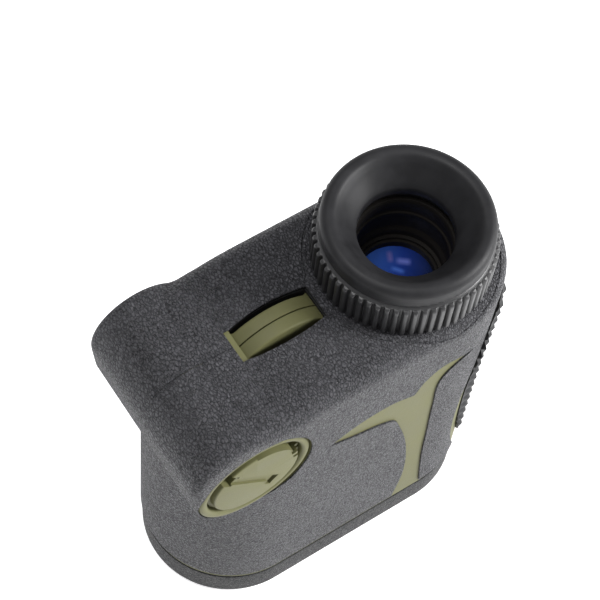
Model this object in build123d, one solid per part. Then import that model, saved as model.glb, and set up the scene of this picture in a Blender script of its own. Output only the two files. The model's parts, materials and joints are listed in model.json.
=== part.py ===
from build123d import *
import math
import os

# Laser rangefinder standing on its lens end.
# +Z runs from the lens windows to the eyepiece, +X is the side that is up in use (buttons),
# and -Y is the user's right, where the battery door is. Millimetres. Everything is drawn about
# the middle of the front bezel and moved at export, so that the origin is on the floor, under
# the middle of the whole object.

os.makedirs("parts", exist_ok=True)

# ---- driving dimensions -------------------------------------------------------------------
BODY_WIDTH = 38.0          # front bezel, along Y
BODY_HEIGHT = 76.0         # front bezel, along X
BEZEL_DEPTH = 8.2
SEAL_DEPTH = 0.4
REAR_Z = 83.2              # rear face of the olive shell
WALL = 2.0
SKIN = 0.8                 # rubber armour thickness
SKIN_FRONT = 9.9           # the armour starts here, above a thin olive line
REAR_ROUND = 4.0
DOOR_ROUND = 0.4

BARREL_X = -27.8           # the battery lies across the body, along Y
BARREL_Z = 66.3
BARREL_R = 12.65           # round below, close round the battery port
SHOULDER_X = -30.9         # and drawn up to a tighter corner at the rear
SHOULDER_Z = 72.6
SHOULDER_R = 10.3
BARREL_INSET = 0.05        # the barrel's flat ends sit this far inside the flanks

EYE_X = 17.8               # eyepiece and objective share this axis
RECEIVER_X = -17.5

RING_R = 18.8              # ribbed dioptre ring
RING_LOW = 83.5
RING_HIGH = 93.6
RIB_COUNT = 62
RIB_GROOVE_R = 0.55
TUBE_R = 12.4              # fixed ocular tube, outside
CELL_R = 10.92             # sliding lens cell, outside
TUBE_BORE = 11.0
CELL_TRAVEL = 1.2

PIN_Z = 86.6               # cam pin between the ring's groove and the sliding cell

EYECUP_R = 17.3
EYECUP_WALL_Z = 96.1       # the plain outer wall ends here and the lip rounds over
EYECUP_LIP_R = 15.4
EYECUP_TOP = 98.0
THROAT_R = 9.7
THROAT_Z = 92.3
THROAT_LOW = 89.8
NECK_R = 14.6              # the ring's neck, which the eyecup is moulded over
NECK_BORE = 12.8
NECK_TOP = 94.6
SLEEVE_R = 10.6            # the eyecup's sleeve inside the ring
STEP_Z = 91.9

PORT_INNER = -14.6         # how far the port ring reaches into the barrel
PORT_R = 12.8              # fixed olive ring round the battery door
PORT_BORE = 9.4
LID_R = 9.9
BATTERY_R = 7.8            # CR2 lithium cell
BATTERY_LENGTH = 27.0

POCKET_LOW_X = -20.3       # lanyard pocket in the rear face
POCKET_HIGH_X = -2.5
POCKET_END_HALF = 3.7
POCKET_MID_HALF = 5.2
POCKET_FLOOR = 75.0
BAR_HALF = 3.0
BAR_CREST = 85.2
BAR_END_Z = 81.6

TOOTH_COUNT = 18           # finger ridges on the grip pad
TOOTH_PITCH = 3.3
TOOTH_HEIGHT = 1.0
PAD_LOW = 16.5

POWER_Z = 56.0
MODE_Z = 34.0
BUTTON_RISE = 2.9          # button faces stand this far above the shell
BUTTON_TRAVEL = 0.6
BUTTON_GAP = 0.15          # left under a key when it is pressed home
STEM_R = 2.1

SCREW_HEAD = 1.5
SCREW_HEAD_R = 1.9
SCREW_BOSS_R = 2.6
SCREW_R = 1.0
SCREW_BORE_R = 1.05
# x, z and head y of each screw
SCREW_PLACES = ((0.0, 27.0, 16.8), (-24.5, 43.0, 16.8), (29.5, 25.0, 13.9), (2.0, 70.0, 16.8))

PRISM_LOW = 30.0
PRISM_HIGH = 52.0
PRISM_HALF = 9.5
PRISM_TILT = 32.0          # the slanted air gap between the two prisms

END_OFFSET = (BODY_HEIGHT - BODY_WIDTH) / 2     # centres of the two round ends
HALF_WIDTH = BODY_WIDTH / 2
SHELL_FRONT = BEZEL_DEPTH + SEAL_DEPTH
SKIN_OUT = HALF_WIDTH + SKIN
TOP_X = END_OFFSET + HALF_WIDTH
BUTTON_FACE = TOP_X + BUTTON_RISE
MIDDLE_X = (SHOULDER_X - SHOULDER_R - SKIN + BUTTON_FACE) / 2
BIG = 200.0


# ---- basic shapes -------------------------------------------------------------------------
def stadium(radius, low, high):
    """Upright prism with two round ends, like the body's outline."""
    outline = SlotCenterToCenter(2 * END_OFFSET, 2 * radius)
    return Pos(0, 0, low) * extrude(outline, high - low)


def post(x, y, low, high, radius):
    return Pos(x, y, (low + high) / 2) * Cylinder(radius, high - low)


def post_x(low, high, y, z, radius):
    return Pos((low + high) / 2, y, z) * Rot(0, 90, 0) * Cylinder(radius, high - low)


def post_y(x, low, high, z, radius):
    return Pos(x, (low + high) / 2, z) * Rot(90, 0, 0) * Cylinder(radius, high - low)


def tube(x, y, low, high, outer, inner):
    return post(x, y, low, high, outer) - post(x, y, low - 1, high + 1, inner)


def tube_y(x, low, high, z, outer, inner):
    return post_y(x, low, high, z, outer) - post_y(x, low - 1, high + 1, z, inner)


def block(x0, x1, y0, y1, z0, z1):
    centre = Pos((x0 + x1) / 2, (y0 + y1) / 2, (z0 + z1) / 2)
    return centre * Box(x1 - x0, y1 - y0, z1 - z0)


def turned(x, points):
    """Solid of revolution about a vertical axis at x, from (radius, height) points."""
    outline = Plane.XZ * make_face(Polyline(*points, close=True))
    return Pos(x, 0, 0) * revolve(outline, Axis.Z)


def side_prism(curves, low_y, high_y):
    """Prism along Y from a closed outline drawn in the side view (x, z)."""
    face = Plane.XZ * make_face(curves)
    return Pos(0, high_y, 0) * extrude(face, high_y - low_y)


def lens(x, low, high, radius, sag_low, sag_high):
    """Lens between two rim heights, bulging outwards by the two sags."""
    lower = ThreePointArc((-radius, low), (0, low - sag_low), (radius, low))
    upper = ThreePointArc((radius, high), (0, high + sag_high), (-radius, high))
    outline = [lower, Line((radius, low), (radius, high)), upper, Line((-radius, high), (-radius, low))]
    profile = Plane.XZ * make_face(outline)
    half = profile & (Pos(radius, 0, (low + high) / 2) * Box(2 * radius, 1, BIG))
    return Pos(x, 0, 0) * revolve(half, Axis.Z)


def barrel(grow, reach):
    """Battery barrel along Y; its section is the hull of two circles, one above the other."""
    low_r = BARREL_R + grow
    high_r = SHOULDER_R + grow
    rise = Vector(SHOULDER_X - BARREL_X, SHOULDER_Z - BARREL_Z)
    lean = math.degrees(math.atan2(rise.Y, rise.X))
    spread = math.degrees(math.acos((low_r - high_r) / rise.length))

    def low(turn):
        angle = math.radians(lean + turn)
        return (BARREL_X + low_r * math.cos(angle), BARREL_Z + low_r * math.sin(angle))

    def high(turn):
        angle = math.radians(lean + turn)
        return (SHOULDER_X + high_r * math.cos(angle), SHOULDER_Z + high_r * math.sin(angle))

    section = Plane.XZ * make_face([
        ThreePointArc(low(spread), low(180), low(-spread)),
        Line(low(-spread), high(-spread)),
        ThreePointArc(high(-spread), high(0), high(spread)),
        Line(high(spread), low(spread)),
    ])
    return extrude(section, reach, both=True)


def body_form(skin, front):
    """The body's outer form, grown by skin: a stadium prism and the battery barrel across it."""
    radius = HALF_WIDTH + skin
    stem = stadium(radius, front, REAR_Z + skin)
    stem = fillet(stem.edges().group_by(Axis.Z)[-1], REAR_ROUND + skin)
    reach = radius - BARREL_INSET
    across = barrel(skin, reach)
    rims = across.edges().group_by(Axis.Y)
    across = fillet(rims[0] + rims[-1], max(DOOR_ROUND + skin, DOOR_ROUND))
    return stem + across


def right_half(shape):
    return shape & block(-BIG, BIG, -BIG, 0, -BIG, BIG)


def left_half(shape):
    return shape & block(-BIG, BIG, 0, BIG, -BIG, BIG)


def export(shape, node):
    placed = Pos(-MIDDLE_X, 0, 0) * shape
    placed.label = node
    export_step(placed, f"parts/{node}.step")


# ---- lanyard pocket -----------------------------------------------------------------------
def pocket_outline(grow):
    """Pocket seen from the rear: narrow ends, sides bowed out in the middle."""
    low = POCKET_LOW_X - grow
    high = POCKET_HIGH_X + grow
    end = POCKET_END_HALF + grow
    middle = POCKET_MID_HALF + grow
    centre = (low + high) / 2
    return make_face([
        Line((low, -end), (low, end)),
        ThreePointArc((low, end), (centre, middle), (high, end)),
        Line((high, end), (high, -end)),
        ThreePointArc((high, -end), (centre, -middle), (low, -end)),
    ])


def pocket(grow, low, high):
    return Pos(0, 0, low) * extrude(pocket_outline(grow), high - low)


def lanyard_bar():
    """Arched bar along X that bridges the pocket; a cord passes under it from side to side."""
    thickness = 2.8
    low = POCKET_LOW_X
    high = POCKET_HIGH_X
    centre = (low + high) / 2
    under = BAR_END_Z - thickness
    outline = [
        ThreePointArc((low, BAR_END_Z), (centre, BAR_CREST), (high, BAR_END_Z)),
        Line((high, BAR_END_Z), (high, under)),
        ThreePointArc((high, under), (centre, BAR_CREST - thickness), (low, under)),
        Line((low, under), (low, BAR_END_Z)),
    ]
    return side_prism(outline, -BAR_HALF, BAR_HALF)


# ---- windows in the armour, drawn in the side view ----------------------------------------
def y_window():
    """Y-shaped olive window on each flank: two arms and a stem that flares to the front."""
    front = SKIN_FRONT - 2
    return [
        Spline((-10.5, 61.6), (-4.0, 64.3), (4.0, 65.0), (10.1, 63.0)),
        Spline((10.1, 63.0), (12.3, 67.0), (16.5, 69.6), (24.8, 68.2)),
        Spline((24.8, 68.2), (19.6, 66.6), (16.6, 62.6), (16.4, 51.0)),
        Spline((16.4, 51.0), (16.8, 38.0), (17.2, 26.0), (18.8, front)),
        Line((18.8, front), (10.8, front)),
        Spline((10.8, front), (12.7, 22.0), (11.2, 38.5), (8.2, 50.0)),
        ThreePointArc((8.2, 50.0), (6.2, 54.9), (2.8, 57.0)),
        Spline((2.8, 57.0), (-4.5, 59.3), (-10.5, 61.6)),
    ]


def top_window():
    """Opening for the grip pad on the +X side, with a strip of olive that widens to the front."""
    front = SKIN_FRONT - 2
    rear = PAD_LOW + TOOTH_COUNT * TOOTH_PITCH + 1.0
    return [
        Spline((31.2, front), (27.0, 20.0), (25.2, 31.0), (25.3, 41.0), (26.4, 49.0), (28.8, 60.0),
               (31.0, rear)),
        Line((31.0, rear), (60.0, rear)),
        Line((60.0, rear), (60.0, front)),
        Line((60.0, front), (31.2, front)),
    ]


def pad_outline():
    rear = PAD_LOW + TOOTH_COUNT * TOOTH_PITCH + 0.6
    front = PAD_LOW - 0.4
    return [
        Spline((31.0, front), (28.4, 25.0), (27.3, 37.0), (27.6, 49.0), (29.4, 61.0), (31.6, rear)),
        Line((31.6, rear), (60.0, rear)),
        Line((60.0, rear), (60.0, front)),
        Line((60.0, front), (31.0, front)),
    ]


def grip_root(z):
    """Radius of the pad's surface between its ridges; hollowed a little for the finger."""
    return HALF_WIDTH + 0.45 + 0.0007 * (z - 32.0) ** 2


# ---- shells and armour --------------------------------------------------------------------
def housing():
    outer = body_form(0, SHELL_FRONT)
    cavity = body_form(-WALL, SHELL_FRONT)
    lip = stadium(HALF_WIDTH - WALL + 0.1, SHELL_FRONT - 2.4, SHELL_FRONT)
    lip = lip - stadium(HALF_WIDTH - WALL - 1.2, SHELL_FRONT - 3, SHELL_FRONT + 1)
    seat = stadium(HALF_WIDTH - WALL + 0.1, SHELL_FRONT, SHELL_FRONT + 1.5)
    seat = seat - stadium(HALF_WIDTH - WALL - 1.2, SHELL_FRONT - 1, SHELL_FRONT + 2)
    tub = pocket(1.4, POCKET_FLOOR - 1.4, REAR_Z - 1) - pocket(0, POCKET_FLOOR, REAR_Z + 1)
    shell = outer - cavity + tub
    shell = shell - pocket(0, POCKET_FLOOR, REAR_Z + 1) + lanyard_bar()
    shell = shell + lip + seat
    shell = shell - post(EYE_X, 0, REAR_Z - WALL - 1, REAR_Z + 1, TUBE_R + 0.05)
    shell = shell - post_y(BARREL_X, -SKIN_OUT - 1, PORT_INNER + 0.05, BARREL_Z, PORT_R + 0.05)
    for z in (POWER_Z, MODE_Z):
        shell = shell - post_x(TOP_X - WALL - 1, TOP_X + 1, 0, z, STEM_R + 0.1)
    inside = body_form(-WALL + 0.1, SHELL_FRONT)
    for x, z, head_y in SCREW_PLACES:
        shell = shell + (post_y(x, -40.0, 40.0, z, SCREW_BOSS_R) & inside)
    for x, z, head_y in SCREW_PLACES:
        counterbore = post_y(x, head_y - SCREW_HEAD - 0.05, 30.0, z, SCREW_HEAD_R + 0.2)
        shell = shell - (post_y(x, -6.0, 30.0, z, SCREW_BORE_R) + counterbore)
    return shell


def armour():
    skin = body_form(SKIN, SKIN_FRONT) - body_form(0, SKIN_FRONT - 1)
    skin = skin - side_prism(y_window(), -40, -5) - side_prism(y_window(), 5, 40)
    skin = skin - side_prism(top_window(), -40, 40)
    skin = skin - pocket(0, REAR_Z - 1, REAR_Z + 5)
    skin = skin - pocket_ledge()
    skin = skin - post(EYE_X, 0, REAR_Z - 0.5, REAR_Z + 5, RING_R + 0.5)
    skin = skin - post_y(BARREL_X, -40, 0, BARREL_Z, PORT_R + 0.15)
    return skin


def pocket_ledge():
    """Bare strip of shell at the pocket's lower end."""
    half = POCKET_END_HALF
    return block(POCKET_LOW_X - 1.2, POCKET_LOW_X + 1, -half, half, REAR_Z - 0.5, REAR_Z + 5)


shell_all = housing()
armour_all = armour()
export(right_half(shell_all), "right_housing")
export(left_half(shell_all), "left_housing")
export(right_half(armour_all), "right_armour")
export(left_half(armour_all), "left_armour")


# ---- front end ----------------------------------------------------------------------------
def front_bezel():
    shape = stadium(HALF_WIDTH, 0, BEZEL_DEPTH)
    shape = fillet(shape.edges().group_by(Axis.Z)[0], 0.9)
    shape = shape - stadium(HALF_WIDTH - WALL + 0.2, 4.2, BEZEL_DEPTH + 1)
    shape = shape - stadium(HALF_WIDTH - 1.6, -1, 2.2)
    shape = shape - post(EYE_X, 0, -1, 6, 12.2) - post(RECEIVER_X, 0, -1, 6, 10.2)
    return shape


def trim_plate():
    shape = stadium(HALF_WIDTH - 1.75, 1.4, 2.15)
    return shape - post(EYE_X, 0, 0, 6, 12.0) - post(RECEIVER_X, 0, 0, 6, 10.0)


def bezel_seal():
    shape = stadium(HALF_WIDTH - 0.5, BEZEL_DEPTH, SHELL_FRONT)
    return shape - stadium(HALF_WIDTH - WALL + 0.2, 0, 20)


def lens_cell(x, front_r, body_r, bore, shoulder_z, back_z):
    """Stepped tube: narrow nose in the bezel's hole, a lens bore and a shoulder behind the lens."""
    points = [
        (bore, 3.0), (front_r, 3.0), (front_r, 4.25), (body_r, 4.25), (body_r, back_z),
        (bore - 0.6, back_z), (bore - 1.0, shoulder_z), (bore, shoulder_z),
    ]
    return turned(x, points)


export(front_bezel(), "front_bezel")
export(trim_plate(), "front_trim_plate")
export(bezel_seal(), "bezel_seal")
export(lens_cell(EYE_X, 12.1, 13.4, 11.55, 9.6, 22.0), "objective_cell")
export(lens(EYE_X, 4.7, 9.55, 11.5, 1.1, 0.3), "objective_lens")
export(tube(EYE_X, 0, 3.2, 4.5, 11.5, 10.7), "objective_retaining_ring")
export(lens_cell(RECEIVER_X, 10.1, 11.2, 9.55, 8.6, 29.5), "receiver_cell")
export(lens(RECEIVER_X, 4.7, 8.55, 9.5, 1.1, 0.2), "receiver_lens")
export(tube(RECEIVER_X, 0, 3.2, 4.5, 9.5, 8.8), "receiver_retaining_ring")


# ---- optics inside ------------------------------------------------------------------------
def prism_block():
    half = PRISM_HALF
    return block(EYE_X - half, EYE_X + half, -half, half, PRISM_LOW + 1.5, PRISM_HIGH - 1.5)


def prism_cut(offset):
    """Half space on one side of the slanted air gap between the two prisms."""
    centre = Pos(EYE_X, 0, (PRISM_LOW + PRISM_HIGH) / 2) * Rot(0, -PRISM_TILT, 0)
    return centre * Pos(0, 0, offset + 30 * (1 if offset > 0 else -1)) * Box(BIG, BIG, 60)


def prism_holder():
    half = PRISM_HALF + 1.7
    outer = block(EYE_X - half, EYE_X + half, -half, half, PRISM_LOW, PRISM_HIGH)
    seat = PRISM_HALF + 0.1
    inner = block(EYE_X - seat, EYE_X + seat, -seat, seat, PRISM_LOW + 1.4, PRISM_HIGH + 1)
    window = post(EYE_X, 0, PRISM_LOW - 1, PRISM_HIGH, 8.5)
    laser_port = post_x(0, EYE_X, 0, 41.0, 3.0)
    return outer - inner - window - laser_port


export(prism_holder(), "prism_holder")
export(prism_block() & prism_cut(0.15), "roof_prism")
export(prism_block() & prism_cut(-0.15), "half_prism")
export(block(EYE_X - 9, EYE_X + 9, -8, 8, 54.0, 55.6), "display_panel")
export(post_x(-6.0, 5.4, 0, 41.0, 4.5) + post_x(5.4, 6.4, 0, 41.0, 2.8), "laser_diode_module")
export(block(-26, -9, -8, 8, 33.4, 34.6), "receiver_board")
export(post(RECEIVER_X, 0, 30.2, 33.3, 4.0), "avalanche_photodiode")


# ---- eyepiece -----------------------------------------------------------------------------
def ocular_tube():
    """Fixed tube with a flange behind the rear wall and a straight slot for the cam pin."""
    shape = turned(EYE_X, [
        (TUBE_BORE, 58.0), (TUBE_R, 58.0), (TUBE_R, 79.4), (15.5, 79.4), (15.5, 81.1),
        (TUBE_R, 81.1), (TUBE_R, 90.5), (TUBE_BORE, 90.5),
    ])
    slot = block(EYE_X, EYE_X + 20, -0.85, 0.85, PIN_Z - CELL_TRAVEL - 0.95, PIN_Z + CELL_TRAVEL + 0.95)
    return shape - (slot - post(EYE_X, 0, 50, 95, 8))


def dioptre_ring():
    groove_low = PIN_Z - CELL_TRAVEL - 0.85
    groove_high = PIN_Z + CELL_TRAVEL + 0.85
    bore = TUBE_R + 0.08
    points = [
        (bore, RING_LOW), (RING_R - 0.5, RING_LOW), (RING_R, RING_LOW + 0.5), (RING_R, RING_HIGH - 1.2),
        (RING_R - 1.2, RING_HIGH), (NECK_R, RING_HIGH), (NECK_R, NECK_TOP), (NECK_BORE, NECK_TOP),
        (NECK_BORE, STEP_Z), (SLEEVE_R, STEP_Z), (SLEEVE_R, 90.7), (bore, 90.7),
        (bore, groove_high), (bore + 1.2, groove_high), (bore + 1.2, groove_low), (bore, groove_low),
    ]
    ring = turned(EYE_X, points)
    groove = post(EYE_X, 0, RING_LOW + 1.0, RING_HIGH + 2, RIB_GROOVE_R)
    first = Pos(RING_R - EYE_X + 0.08, 0, 0) * groove
    around = [Pos(EYE_X, 0, 0) * Rot(0, 0, 360 / RIB_COUNT * i) * first for i in range(RIB_COUNT)]
    return ring - around


def eyecup():
    """Rubber eyecup: short outer wall, rounded lip, and a funnel that narrows to the throat."""
    clear = 0.02
    outline = [
        Line((SLEEVE_R - clear, THROAT_LOW), (SLEEVE_R - clear, STEP_Z + clear)),
        Line((SLEEVE_R - clear, STEP_Z + clear), (NECK_BORE - clear, STEP_Z + clear)),
        Line((NECK_BORE - clear, STEP_Z + clear), (NECK_BORE - clear, NECK_TOP + clear)),
        Line((NECK_BORE - clear, NECK_TOP + clear), (NECK_R + clear, NECK_TOP + clear)),
        Line((NECK_R + clear, NECK_TOP + clear), (NECK_R + clear, RING_HIGH + clear)),
        Line((NECK_R + clear, RING_HIGH + clear), (EYECUP_R, RING_HIGH + clear)),
        Line((EYECUP_R, RING_HIGH + clear), (EYECUP_R, EYECUP_WALL_Z)),
        ThreePointArc((EYECUP_R, EYECUP_WALL_Z), (16.8, 97.5), (EYECUP_LIP_R, EYECUP_TOP)),
        ThreePointArc((EYECUP_LIP_R, EYECUP_TOP), (12.7, 95.7), (THROAT_R, THROAT_Z)),
        Line((THROAT_R, THROAT_Z), (THROAT_R, THROAT_LOW)),
        Line((THROAT_R, THROAT_LOW), (SLEEVE_R - clear, THROAT_LOW)),
    ]
    profile = Plane.XZ * make_face(outline)
    return Pos(EYE_X, 0, 0) * revolve(profile, Axis.Z)


def ocular_cell():
    return turned(EYE_X, [
        (7.6, 62.0), (CELL_R, 62.0), (CELL_R, 88.0), (9.9, 88.0), (9.9, 78.0), (9.3, 77.0),
        (9.3, 75.4), (8.55, 75.4), (8.55, 62.8), (7.6, 62.8),
    ])


export(ocular_tube(), "ocular_tube")
export(dioptre_ring(), "dioptre_ring")
export(eyecup(), "eyecup")
export(ocular_cell(), "ocular_lens_cell")
export(lens(EYE_X, 64.0, 65.6, 8.5, 1.1, 0.9), "field_lens")
export(tube(EYE_X, 0, 65.8, 69.2, 8.5, 7.7), "ocular_spacer")
export(lens(EYE_X, 69.45, 72.9, 8.5, 1.2, 0.8), "eye_lens")
export(tube(EYE_X, 0, 73.1, 74.8, 8.5, 7.9), "ocular_retaining_ring")
export(post_x(EYE_X + 10.95, EYE_X + 13.3, 0, PIN_Z, 0.75), "cam_pin")


# ---- battery compartment ------------------------------------------------------------------
DOOR_FACE = -SKIN_OUT                    # outer face of the port ring, flush with the armour
LID_FACE = DOOR_FACE + 0.7
BATTERY_OUT = -13.4
BATTERY_IN = BATTERY_OUT + BATTERY_LENGTH


def port_ring():
    shape = post_y(BARREL_X, DOOR_FACE, PORT_INNER, BARREL_Z, PORT_R)
    shape = fillet(shape.edges().group_by(Axis.Y)[0], 0.9)
    shape = shape - post_y(BARREL_X, DOOR_FACE - 1, -16.9, BARREL_Z, LID_R + 0.5)
    return shape - post_y(BARREL_X, -18, -10, BARREL_Z, PORT_BORE)


def battery_cap():
    """Coin-slot cap: stepped lid, plain plug with a seal groove. The coin slot runs out at one rim."""
    lid = post_y(BARREL_X, LID_FACE + 0.5, -17.0, BARREL_Z, LID_R)
    plateau = post_y(BARREL_X, LID_FACE, LID_FACE + 0.6, BARREL_Z, LID_R - 1.0)
    plug = post_y(BARREL_X, -17.1, -14.8, BARREL_Z, PORT_BORE - 0.08)
    groove = tube_y(BARREL_X, -16.6, -15.6, BARREL_Z, PORT_BORE + 1, PORT_BORE - 1.0)
    hollow = post_y(BARREL_X, -15.6, -14, BARREL_Z, 7.2)
    cap = lid + plateau + plug - groove - hollow
    slot = Pos(-2.2, 0, 0) * Box(16.0, 1.6, 1.7)
    return cap - Pos(BARREL_X, LID_FACE, BARREL_Z) * Rot(0, 44, 0) * Rot(90, 0, 0) * slot


def cap_contact():
    """Stamped contact disc inside the cap; its dome presses on the cell."""
    disc = post_y(BARREL_X, -15.5, -15.1, BARREL_Z, 7.0)
    dome = post_y(BARREL_X, -15.2, BATTERY_OUT - 0.05, BARREL_Z, 2.6)
    return disc + dome


def battery():
    can = post_y(BARREL_X, BATTERY_OUT, BATTERY_IN - 1.0, BARREL_Z, BATTERY_R)
    can = fillet(can.edges().filter_by(GeomType.CIRCLE), 0.5)
    return can + post_y(BARREL_X, BATTERY_IN - 1.1, BATTERY_IN, BARREL_Z, 3.1)


def contact_plate():
    plate = post_y(BARREL_X, 15.6, 16.2, BARREL_Z, 7.4)
    leaf = post_y(BARREL_X, BATTERY_IN + 0.1, 15.7, BARREL_Z, 2.2)
    return plate + leaf


export(port_ring(), "battery_port_ring")
export(tube_y(BARREL_X, -14.5, 15.5, BARREL_Z, 9.3, BATTERY_R + 0.3), "battery_tube")
export(battery_cap(), "battery_cap")
export(tube_y(BARREL_X, -16.55, -15.65, BARREL_Z, PORT_BORE - 0.05, PORT_BORE - 1.0), "battery_cap_seal")
export(cap_contact(), "battery_cap_contact")
export(battery(), "battery")
export(contact_plate(), "battery_contact_plate")


# ---- grip pad and buttons -----------------------------------------------------------------
BUTTON_BASE = TOP_X + BUTTON_TRAVEL + BUTTON_GAP


def button_head(z, width, length, low, high):
    outline = SlotOverall(length, width) if length > width else Circle(width / 2)
    head = Pos(low, 0, z) * Rot(0, 90, 0) * extrude(outline, high - low)
    return head


def grip_pad():
    low = PAD_LOW - 0.4
    high = PAD_LOW + TOOTH_COUNT * TOOTH_PITCH + 0.6
    inner = HALF_WIDTH + 0.02
    points = [(inner, low), (inner, high), (grip_root(high), high)]
    for i in reversed(range(TOOTH_COUNT)):
        start = PAD_LOW + i * TOOTH_PITCH
        points.append((grip_root(start + 0.8 * TOOTH_PITCH), start + 0.8 * TOOTH_PITCH))
        points.append((grip_root(start + 0.5 * TOOTH_PITCH) + TOOTH_HEIGHT, start + 0.5 * TOOTH_PITCH))
        points.append((grip_root(start + 0.2 * TOOTH_PITCH), start + 0.2 * TOOTH_PITCH))
    points.append((grip_root(low), low))
    profile = Plane.XZ * make_face(Polyline(*points, close=True))
    sector = Pos(END_OFFSET, 0, 0) * Rot(0, 0, -80) * revolve(profile, Axis.Z, revolution_arc=160)
    pad = sector & side_prism(pad_outline(), -40, 40)
    pad = pad - button_head(POWER_Z, 10.7, 17.7, TOP_X - 3, TOP_X + 9)
    return pad - button_head(MODE_Z, 9.7, 9.7, TOP_X - 3, TOP_X + 9)


def button(z, width, length):
    """Domed key with a stem through the shell and a flange that keeps it in."""
    head = button_head(z, width, length, BUTTON_BASE, BUTTON_FACE)
    head = fillet(head.edges().group_by(Axis.X)[-1], 0.8)
    stem = post_x(TOP_X - 2.6, BUTTON_BASE + 0.1, 0, z, STEM_R)
    flange = post_x(TOP_X - 3.1, TOP_X - 2.45, 0, z, 2.7)
    return head + stem + flange


def switch(z):
    body = block(32.75, 33.85, -2.4, 2.4, z - 2.4, z + 2.4)
    return body + post_x(33.8, 34.2, 0, z, 1.2)


export(grip_pad(), "top_grip_pad")
export(button(POWER_Z, 10.0, 17.0), "power_button")
export(button(MODE_Z, 9.0, 9.0), "mode_button")
export(block(31.6, 32.7, -5.5, 5.5, 29.0, 70.0), "button_board")
export(Compound(children=[switch(POWER_Z), switch(MODE_Z)]), "button_switches")


# ---- electronics and screws ---------------------------------------------------------------
def main_board():
    board = block(-21.0, 3.5, 12.6, 13.8, 31.0, 48.0)
    return board - post_y(-19.0, 0, 30, 45.5, 1.1) - post_y(1.0, 0, 30, 45.5, 1.1)


def board_chips():
    processor = block(-17, -9, 13.85, 14.9, 34, 42)
    memory = block(-6, -1, 13.85, 14.7, 34, 38)
    regulator = block(-20.5, -18, 13.85, 14.6, 35, 39)
    return Compound(children=[processor, memory, regulator])


def case_screw(x, z, head_y):
    shank = post_y(x, -5.0, head_y - 1.0, z, SCREW_R)
    head = post_y(x, head_y - SCREW_HEAD, head_y, z, SCREW_HEAD_R)
    recess = Pos(x, head_y, z) * (Box(0.6, 1.4, 2.2) + Box(2.2, 1.4, 0.6))
    return shank + head - recess


export(main_board(), "main_board")
export(board_chips(), "main_board_chips")
export(Compound(children=[case_screw(*place) for place in SCREW_PLACES]), "case_screws")
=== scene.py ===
import json
import math

import bpy
import numpy as np
from mathutils import Matrix, Vector


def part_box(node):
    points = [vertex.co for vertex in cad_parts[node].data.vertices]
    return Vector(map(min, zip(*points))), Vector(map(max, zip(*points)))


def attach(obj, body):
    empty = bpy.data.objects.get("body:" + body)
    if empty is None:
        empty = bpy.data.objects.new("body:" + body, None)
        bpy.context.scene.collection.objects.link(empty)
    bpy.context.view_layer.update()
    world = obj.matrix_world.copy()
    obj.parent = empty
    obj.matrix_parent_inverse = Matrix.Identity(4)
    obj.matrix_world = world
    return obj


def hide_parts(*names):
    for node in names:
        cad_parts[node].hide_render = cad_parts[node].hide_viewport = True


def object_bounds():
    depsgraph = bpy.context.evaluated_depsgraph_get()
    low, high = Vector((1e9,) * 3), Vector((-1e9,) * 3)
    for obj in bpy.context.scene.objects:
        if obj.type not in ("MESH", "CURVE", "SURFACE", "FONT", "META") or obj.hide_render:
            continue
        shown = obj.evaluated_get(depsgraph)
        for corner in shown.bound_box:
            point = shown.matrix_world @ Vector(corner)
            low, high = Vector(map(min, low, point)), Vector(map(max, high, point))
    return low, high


# Looks of the laser rangefinder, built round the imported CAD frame. Lengths in the helpers are
# millimetres about the middle of the front bezel, and made() turns them into metres.

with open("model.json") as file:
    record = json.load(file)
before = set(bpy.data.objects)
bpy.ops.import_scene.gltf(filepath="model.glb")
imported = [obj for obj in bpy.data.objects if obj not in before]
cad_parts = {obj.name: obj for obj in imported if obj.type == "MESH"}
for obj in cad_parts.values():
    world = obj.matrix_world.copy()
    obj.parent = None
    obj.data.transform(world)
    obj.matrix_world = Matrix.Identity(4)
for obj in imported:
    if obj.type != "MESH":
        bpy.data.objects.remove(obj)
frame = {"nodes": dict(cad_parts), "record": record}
CAD_LOW, CAD_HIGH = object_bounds()
NODES = frame["nodes"]
MM = 0.001


# ---- places taken from the frame ----------------------------------------------------------
def node_box(*names):
    """Lowest and highest corner of some CAD nodes, in millimetres about the bezel's middle."""
    corners = np.array([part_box(name) for name in names]) / MM
    return corners[:, 0].min(0) - BASE, corners[:, 1].max(0) - BASE


bezel_low, bezel_high = (np.array(corner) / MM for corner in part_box("front_bezel"))
BASE = np.array([(bezel_low[0] + bezel_high[0]) / 2, 0.0, 0.0])
HALF = bezel_high[1]                                   # the bezel's half width
END = (bezel_high[0] - bezel_low[0]) / 2 - HALF        # centres of its two round ends
BEZEL_TOP = bezel_high[2]

armour_low, armour_high = node_box("right_armour", "left_armour")
SKIN_OUT = armour_high[1]
REAR = armour_high[2]
ARMOUR_FRONT = armour_low[2] + 0.5     # a narrow olive line shows between these two
SHELL_FRONT = node_box("bezel_seal")[1][2] + 0.3
STEP_DEPTH = 0.4                # how far the olive lies below the armour where it shows
SHELL_THICK = 1.3

ring_low, ring_high = node_box("dioptre_ring")
cup_low, cup_high = node_box("eyecup")
EYE_X = (cup_low[0] + cup_high[0]) / 2
RING_R = (ring_high[0] - ring_low[0]) / 2
CUP_R = (cup_high[0] - cup_low[0]) / 2
RING_Z = ring_low[2]
TUBE_HOLE_R = 12.6              # bore for the ocular tube, through armour, shell and ring

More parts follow.
